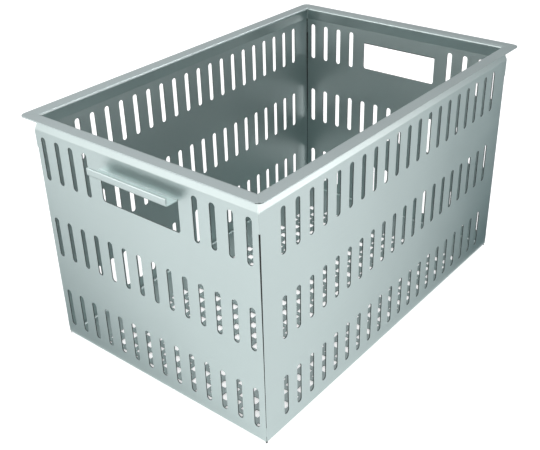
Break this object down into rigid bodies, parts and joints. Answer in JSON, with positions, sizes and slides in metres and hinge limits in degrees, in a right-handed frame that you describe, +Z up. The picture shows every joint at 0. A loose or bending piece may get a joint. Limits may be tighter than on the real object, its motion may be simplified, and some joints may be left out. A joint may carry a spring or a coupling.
{
  "type": "sterilization container",
  "caption": "Open perforated instrument basket in folded aluminium sheet, with slotted walls, a leaning neck under a rim flange, and a hand hole with a folded grip at each end.",
  "frame": {"origin": "on the base plane, under the middle of the opening", "axes": "+X along the long side, towards the right-hand grip; +Y along the short side, towards the back wall; +Z up, out of the open top"},
  "size_m": [0.614, 0.392, 0.342],
  "materials": {
    "wall_sheet": "satin",
    "perforated_sheet": "satin",
    "weld_bead": "satin"
  },
  "bodies": {
    "root": {"floor_panel": "perforated_sheet", "right_end_wall": "wall_sheet", "left_end_wall": "wall_sheet", "back_wall": "wall_sheet", "front_wall": "wall_sheet", "rim_weld_back_right": "weld_bead", "rim_weld_back_left": "weld_bead", "rim_weld_front_right": "weld_bead", "rim_weld_front_left": "weld_bead", "upper_corner_weld_back_right": "weld_bead", "upper_corner_weld_back_left": "weld_bead", "upper_corner_weld_front_right": "weld_bead", "upper_corner_weld_front_left": "weld_bead", "lower_corner_weld_back_right": "weld_bead", "lower_corner_weld_back_left": "weld_bead", "lower_corner_weld_front_right": "weld_bead", "lower_corner_weld_front_left": "weld_bead"}
  },
  "joints": []
}
